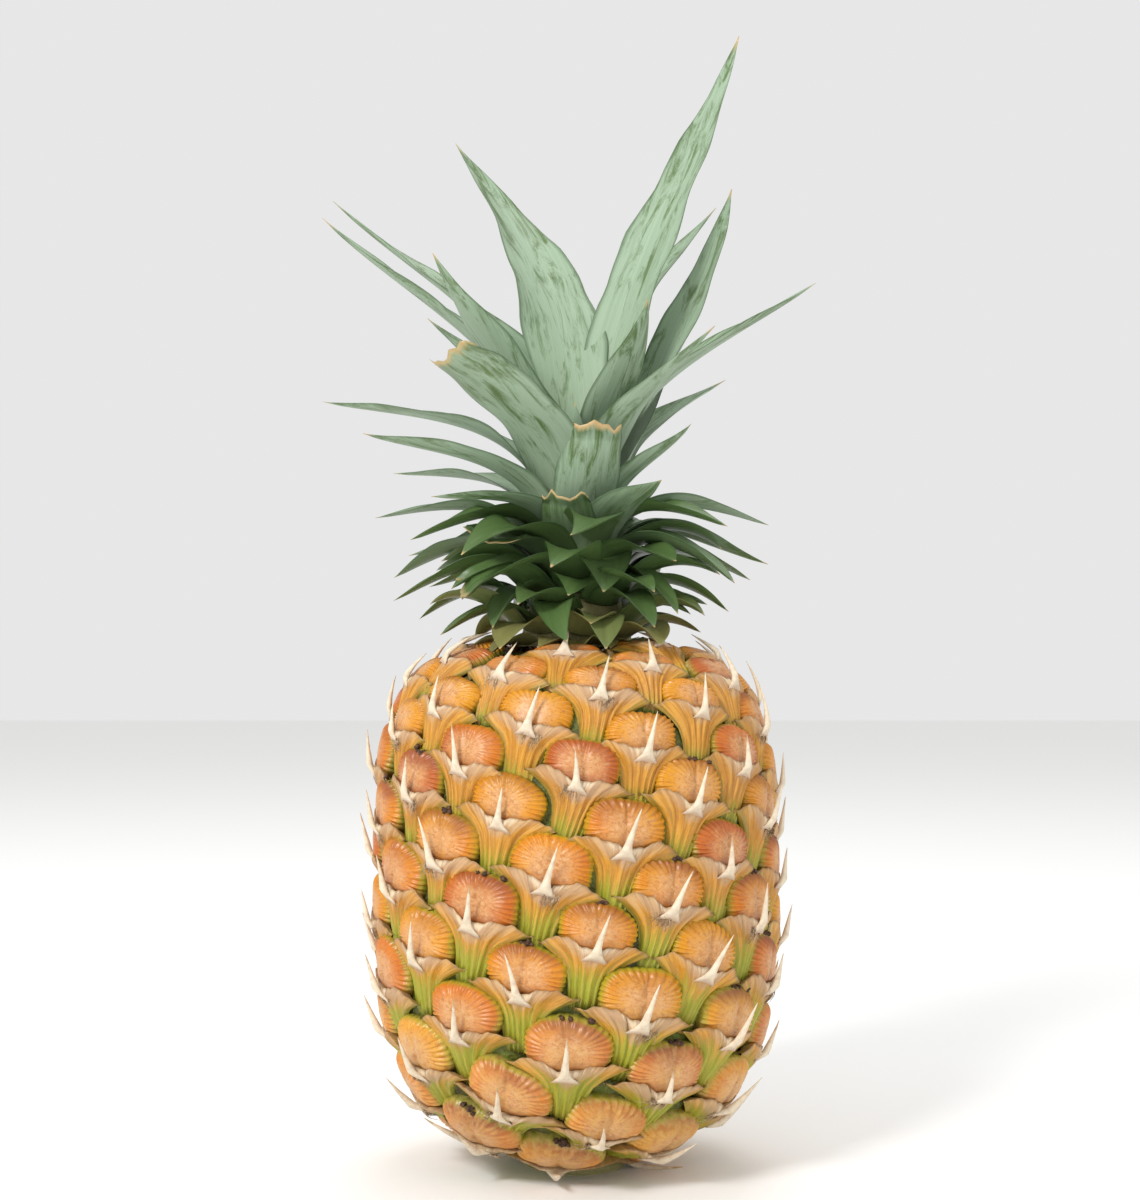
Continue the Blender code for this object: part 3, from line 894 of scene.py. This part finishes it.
def build_eyes():
    """Sets domes, bracts, spines, fibres and dry flowers round the fruit."""
    outline = outline_curve()
    rows = eye_places()
    rng = np.random.default_rng(SEED + 2)
    half = len(rows) // 2
    domes = shape_family("dome", dome_shape, 6, 100)
    bracts = shape_family("bract", bract_shape, 6, 200)
    spines = shape_family("spine", spine_shape, 8, 300)
    fibres = shape_family("fibre", fibre_shape, 4, 400)
    scabs = shape_family("scab", scab_shape, 4, 500)
    sheet = wrap_tree()
    worn = [row for row in rows if row["worn"] > TORN_FROM]
    burnt = [row for row in rows if row["burnt"] > DRY_FLOWER_FROM]
    skin = dome_paint()
    # (piece, its eyes, family of shapes, versions, unevenness, how fine that is, paint)
    jobs = [
        ("eye_domes_upper", rows[:half], domes, 6, 0.7, 60.0, skin),
        ("eye_domes_lower", rows[half:], domes, 6, 0.7, 60.0, skin),
        ("bracts", rows, bracts, 6, 1.0, 90.0, bract_paint()),
        ("spines", rows, spines, 8, 0.5, 60.0, spine_paint()),
        ("torn_fibres", worn, fibres, 4, 0.6, 200.0, fibre_paint()),
        ("dry_flowers", burnt, scabs, 4, 0.6, 200.0, scab_paint()),
    ]
    for name, chosen, family, versions, uneven, scale, paint in jobs:
        picks = [int(pick) for pick in rng.integers(0, versions, len(chosen))]
        cloud = eye_points(name + "_points", chosen, picks)
        mesh = sheet.grow(
            cloud,
            {
                "Shapes": family,
                "Outline": outline,
                "Ground depth": EYE_DEPTH * MM,
                "Size": 1.0,
                "Unevenness": uneven * MM,
                "Uneven scale": scale,
                "Seed": float(len(name)),
                "Material": paint,
            },
        )
        piece = show(bpy.data.objects.new(name, mesh))
        bpy.data.objects.remove(cloud, do_unlink=True)
        finish_piece(piece, paint, "fruit", "fruit")
    bpy.data.objects.remove(outline, do_unlink=True)


# ---------------------------------------------------------------- leaves


def stem_radius(height):
    share = (height - STEM_FOOT) / (STEM_TOP - STEM_FOOT)
    return STEM_FOOT_RADIUS + (STEM_TOP_RADIUS - STEM_FOOT_RADIUS) * share


def leaf_line(leaf, share):
    """Centre line of a leaf: distance out, height and turn at each share of its length."""
    chord = math.hypot(leaf["reach"] - leaf["foot_r"], leaf["tip"] - leaf["foot_z"])
    foot_lean, tip_lean = math.radians(leaf["lean"]), math.radians(leaf["droop"])
    a = np.array([leaf["foot_r"], leaf["foot_z"]])
    b = a + chord * 0.42 * np.array([math.sin(foot_lean), math.cos(foot_lean)])
    d = np.array([leaf["reach"], leaf["tip"]], float)
    c = d - chord * 0.36 * np.array([math.sin(tip_lean), math.cos(tip_lean)])
    t = np.asarray(share)[:, None]
    place = (1 - t) ** 3 * a + 3 * t * (1 - t) ** 2 * b + 3 * t * t * (1 - t) * c + t**3 * d
    turn = np.radians(leaf["turn"] + leaf["sweep"] * t[:, 0] ** 1.5)
    return place[:, 0], place[:, 1], turn


def leaf_width(leaf, share):
    """Width along the leaf: a clasping foot, a broad blade, then a long taper."""
    foot = min(leaf["clasp"], 2.0 * leaf["foot_r"] / leaf["width"])
    grown = foot + (1 - foot) * np.sin(math.pi / 2 * np.minimum(share / 0.4, 1.0)) ** 1.3
    if leaf["end"] == "cut":
        return leaf["width"] * grown * (1 - 0.18 * np.maximum(share - 0.5, 0) / 0.5)
    taper = 1 - np.maximum((share - 0.3) / 0.7, 0) ** 1.7
    return np.maximum(leaf["width"] * grown * taper, 0.35)


def unit(rows):
    return rows / np.linalg.norm(rows, axis=1)[:, None]


def blade(leaf, number):
    """One leaf as a thin closed blade, hollow above, with uneven edges and a worn end."""
    rng = np.random.default_rng(900 + number)
    long = leaf["tip"] - leaf["foot_z"] > 30 or leaf["reach"] > 45
    rings = LONG_BLADE_RINGS if long else SHORT_BLADE_RINGS
    share = np.linspace(0, 1, rings)
    out, height, turn = leaf_line(leaf, share)
    middle = np.stack([out * np.sin(turn), -out * np.cos(turn), height], axis=1)
    along = unit(np.gradient(middle, axis=0))
    side = np.stack([np.cos(turn), np.sin(turn), np.zeros(rings)], axis=1)
    side = unit(side - along * np.sum(side * along, axis=1)[:, None])
    inner = np.cross(along, side)
    roll = np.radians(leaf["twist"]) * share**1.2
    cosine, sine = np.cos(roll)[:, None], np.sin(roll)[:, None]
    side, inner = side * cosine + inner * sine, inner * cosine - side * sine
    run = np.concatenate([[0], np.cumsum(np.linalg.norm(np.diff(middle, axis=0), axis=1))])
    width = leaf_width(leaf, share)
    wrap_foot = np.minimum(width / 2 / out, 1.25)
    ease = smooth(share, 0, 0.5)
    wrap = wrap_foot + (leaf["hollow"] - wrap_foot) * ease
    curve = width / 2 / wrap
    across = np.sin(np.linspace(-math.pi / 2, math.pi / 2, BLADE_COLUMNS))
    count = 2 * BLADE_COLUMNS
    phase = rng.random(6) * 2 * math.pi
    points, lines, wides, shares = [], [], [], []
    for ring in range(rings):
        far = run[ring]
        ripple = 0.018 * np.sin(far / 5.3 + phase[0]) + 0.012 * np.sin(far / 2.1 + phase[1])
        angle = across * wrap[ring] * (1 + ripple * np.sign(across))
        bow = curve[ring]
        place = (
            middle[ring]
            + np.outer(bow * np.sin(angle), side[ring])
            + np.outer(bow * (1 - np.cos(angle)), inner[ring])
        )
        wavy = 0.045 * width[ring] * np.abs(across) ** 3
        edge_wave = np.sin(far / 6.1 + phase[2] + 1.5 * np.sign(across))
        place = place + np.outer(wavy * edge_wave, inner[ring])
        keel = -0.35 * np.exp(-((across / 0.16) ** 2)) * smooth(share[ring], 0.05, 0.3)
        keel = keel * (width[ring] / max(leaf["width"], 1.0))
        place = place + np.outer(keel, inner[ring])
        if leaf["end"] == "cut" and share[ring] > 0.8:
            tear = rng.normal(0, 1, 3)
            jag = 1.1 * np.sin(5 * across + phase[3]) + 0.9 * np.sin(11 * across + phase[4])
            push = 0.8 * smooth(share[ring], 0.8, 1.0) * (jag + 0.5 * np.sin(23 * across + tear[0]))
            place = place + np.outer(push, along[ring])
            peeled = leaf["peel"] * smooth(share[ring], 0.86, 1.0)
            place = place - np.outer(peeled * np.ones(BLADE_COLUMNS), inner[ring])
        normal = np.outer(np.cos(angle), inner[ring]) - np.outer(np.sin(angle), side[ring])
        full = BLADE_THICK * (1 - 0.45 * share[ring]) * min(1.0, width[ring] / 3.0)
        half = full * (1 - 0.85 * np.abs(across) ** 2.2)
        upper = place + normal * half[:, None]
        lower = (place - normal * half[:, None])[::-1]
        points += list(upper) + list(lower)
        lines += [far] * count
        spread = across * width[ring] / 2
        wides += list(spread) + list(spread[::-1])
        shares += [share[ring]] * count
    faces = grid_faces(rings, count, closed=True)
    for first in (0, (rings - 1) * count):
        for step in range(BLADE_COLUMNS - 1):
            a, b = first + step, first + count - 1 - step
            quad = (a, b, b - 1, a + 1) if first == 0 else (a, a + 1, b - 1, b)
            faces.append(quad)
    points = np.array(points)
    return points, faces, {"run": lines, "wide": wides, "share": shares}


def signed_volume(points, faces):
    """Six times the volume that the quads enclose, negative when they point inward."""
    a, b, c, d = points[np.array(faces)].transpose(1, 0, 2)
    return float(np.sum(a * (np.cross(b, c) + np.cross(c, d))))


def outward(points, faces):
    """The same faces, turned so that they point outward."""
    middle = points.mean(axis=0)
    if signed_volume(points - middle, faces) < 0:
        return [tuple(reversed(face)) for face in faces]
    return faces


def leaf_paint():
    """Leaves: grey-green bloom with rubbed green streaks, thin dark edges and dry tips."""
    p = Paint("leaf", 0.42)
    place = p.place()
    run, wide, share = p.attribute("run"), p.attribute("wide"), p.attribute("share")
    age, dry, half = p.attribute("age"), p.attribute("dry"), p.attribute("half")
    lines = p.noise(p.vector(wide * 1.1, run * 0.012, age * 30.0), 1.0, 5.0, 0.7)
    veins = p.noise(p.vector(wide * 3.4, run * 0.02, age * 50.0), 1.0, 2.0, 0.5)
    rubbed = p.noise(p.vector(wide * 0.30, run * 0.045, age * 17.0), 1.0, 8.0, 0.74, 0.9)
    patch = p.noise(place, 55.0, 4.0)
    green = p.mix(lines, (0.045, 0.095, 0.022), (0.125, 0.20, 0.065))
    bloom = p.mix(veins, (0.27, 0.385, 0.26), (0.42, 0.53, 0.395))
    cover = p.step(age, 0.42, 0.74) * p.step(rubbed + patch * 0.12 - share * 0.13, 0.33, 0.52)
    cover = cover * (0.62 + lines * 0.5)
    body = p.mix(cover * 0.92, green, bloom)
    foot = p.step(share, 0.42, 0.0) * p.step(age, 0.2, 0.7)
    body = p.mix(foot * 0.4, body, (0.38, 0.46, 0.30))
    edge = p.step(p.maths("ABSOLUTE", wide) / half, 0.86, 1.0)
    body = p.mix(edge * 0.7, body, (0.035, 0.085, 0.02))
    olive = p.step(0.15 - age, 0.0, 0.14)
    body = p.mix(olive * 0.75, body, p.mix(lines, (0.22, 0.20, 0.06), (0.40, 0.34, 0.13)))
    shade = p.step(share + (lines - 0.5) * 0.05, 0.955, 1.0)
    body = p.mix(shade * 0.8, body, (0.42, 0.33, 0.13))
    dried = p.step(share + (lines - 0.5) * 0.06 + dry * 0.045, 0.985, 1.03)
    body = p.mix(dried, body, p.mix(lines, (0.62, 0.47, 0.22), (0.34, 0.19, 0.07)))
    p.feed("Base Color", body)
    p.feed("Roughness", 0.27 + cover * 0.25 + lines * 0.12)
    p.bump(veins * 0.6 + lines * 0.6, 0.28, 0.0005)
    return p.material


def leaf_rows():
    """Every leaf of the solid, with the extra traits of its look."""
    rng = np.random.default_rng(SEED + 3)
    rows = []
    for order, row in enumerate(LEAVES):
        reach, tip, sweep, lean, droop, width, end = row
        foot_z = FIRST_LEAF_HEIGHT + LEAF_STEP * order
        row = dict(
            name=f"leaf_{order + 1:02d}",
            turn=FIRST_LEAF_TURN + GOLDEN_ANGLE * order,
            foot_z=foot_z,
            foot_r=stem_radius(foot_z) + LEAF_GAP + 0.45,
            reach=reach,
            tip=tip,
            sweep=sweep,
            lean=lean,
            droop=droop,
            width=width * (1.22 if order < 43 else 1.32),
            clasp=1.0,
            hollow=0.55 + 0.15 * rng.random(),
            twist=rng.normal(0, 7),
            peel=1.6,
            end=end,
            age=order / (len(LEAVES) - 1),
            dry=rng.random() ** 2,
        )
        rows.append(row)
    return rows


def leaf_piece(name, leaf, number):
    """A leaf's blade with the traits that its paint reads."""
    points, faces, traits = blade(leaf, number)
    traits["age"] = [leaf["age"]] * len(points)
    traits["dry"] = [leaf["dry"]] * len(points)
    traits["half"] = leaf_width(leaf, np.array(traits["share"])) / 2 + 0.05
    return show(write_mesh(name, points, outward(points, faces), traits))


def build_leaves():
    """One blade for each leaf of the solid."""
    paint = leaf_paint()
    for number, leaf in enumerate(leaf_rows()):
        piece = leaf_piece("blade_" + leaf["name"][-2:], leaf, number)
        finish_piece(piece, paint, leaf["name"], leaf["name"])


def extra_rows():
    """Leaves that fill the crown's dense lower rows, and the papery bracts under it."""
    rng = np.random.default_rng(SEED + 5)
    rows = []
    for order in range(EXTRA_LEAVES):
        rise = order / (EXTRA_LEAVES - 1)
        row = dict(
            turn=11.0 + GOLDEN_ANGLE * order,
            foot_z=155.0 + 30.0 * rise,
            foot_r=stem_radius(155.0 + 30.0 * rise) + 2.2,
            reach=36.0 + 14.0 * rise + rng.normal(0, 3.0),
            tip=158.0 + 26.0 * rise + rng.normal(0, 2.0),
            sweep=rng.normal(0, 9),
            lean=44.0 - 20.0 * rise,
            droop=128.0 - 22.0 * rise + rng.normal(0, 8),
            width=16.0 + 3.0 * rise,
            end="point",
            age=0.05 + 0.42 * rise,
        )
        rows.append(row)
    for order in range(PAPERY_BRACTS):
        row = dict(
            turn=5.0 + 360.0 * order / PAPERY_BRACTS + rng.normal(0, 5),
            foot_z=152.6,
            foot_r=19.5,
            reach=32.0 + rng.normal(0, 2.0),
            tip=151.0 + rng.normal(0, 1.2),
            sweep=rng.normal(0, 8),
            lean=72.0,
            droop=112.0,
            width=9.5 + rng.normal(0, 1.2),
            end="point",
            age=0.0,
        )
        rows.append(row)
    for row in rows:
        row.update(clasp=0.95, hollow=0.7, twist=rng.normal(0, 9), peel=0.0, dry=rng.random())
    return rows


def build_extra_leaves():
    """The added leaves and the papery bracts, which stand for no solid."""
    paint = leaf_paint()
    for number, leaf in enumerate(extra_rows()):
        piece = leaf_piece(f"inner_blade_{number + 1:02d}", leaf, 100 + number)
        finish_piece(piece, paint, "leaf_28")


def build_stem():
    """Gives the stem and the cut stalk a fibrous finish."""
    p = Paint("stem_fibre", 0.7)
    x, y, z = p.split(p.place())
    grain = p.noise(p.vector(x * 4.0, y * 4.0, z * 0.6), 300.0, 4.0, 0.6)
    body = p.mix(grain, (0.46, 0.40, 0.20), (0.30, 0.30, 0.10))
    p.feed("Base Color", body)
    p.bump(grain, 0.6, 0.001)
    for node in ("crown_stem", "cut_stalk"):
        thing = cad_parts[node]
        thing.data.materials.clear()
        thing.data.materials.append(p.material)


# ---------------------------------------------------------------- studio


def build_studio():
    """A pale floor, soft light and a camera a little above the middle of the pineapple."""
    half = 4000.0
    corners = [(-half, -half, 0), (half, -half, 0), (half, half, 0), (-half, half, 0)]
    floor = show(write_mesh("floor", corners, [(0, 1, 2, 3)]))
    paint = Paint("floor", 0.9, 0.1)
    paint.shader.inputs["Base Color"].default_value = (0.92, 0.92, 0.91, 1.0)
    floor.data.materials.append(paint.material)
    world = bpy.data.worlds.new("studio")
    bpy.context.scene.world = world
    world.use_nodes = True
    backing = world.node_tree.nodes["Background"]
    backing.inputs[0].default_value = (1.0, 1.0, 1.0, 1.0)
    backing.inputs[1].default_value = 0.80
    lamps = [
        ("key", (-0.75, -1.05, 1.1), (0, 0, 0.15), 16.0, 0.35),
        ("fill", (1.1, -0.9, 0.5), (0, 0, 0.12), 1.5, 0.9),
        ("top", (0.1, 0.5, 1.5), (0, 0, 0.15), 5.0, 0.6),
    ]
    for name, place, aim, power, size in lamps:
        data = bpy.data.lights.new(name, "AREA")
        data.energy = power
        data.size = size
        lamp = show(bpy.data.objects.new(name, data))
        turn_to(lamp, place, aim)
    data = bpy.data.cameras.new("camera")
    data.lens = 62.9
    camera = show(bpy.data.objects.new("camera", data))
    turn_to(camera, (-0.0018, -0.62, 0.150), (-0.0018, 0.0, 0.1655))
    bpy.context.scene.camera = camera
    bpy.context.scene.view_settings.view_transform = "Standard"


def turn_to(thing, place, aim):
    """Puts a lamp or camera at a place, looking at another."""
    away = np.array(place, float) - np.array(aim, float)
    away = away / np.linalg.norm(away)
    right = np.cross([0.0, 0.0, 1.0], away)
    right = right / np.linalg.norm(right)
    up = np.cross(away, right)
    for row in range(3):
        thing.matrix_world[row][0] = right[row]
        thing.matrix_world[row][1] = up[row]
        thing.matrix_world[row][2] = away[row]
        thing.matrix_world[row][3] = place[row]


build_rind()
build_eyes()
build_leaves()
build_extra_leaves()
build_stem()
build_studio()
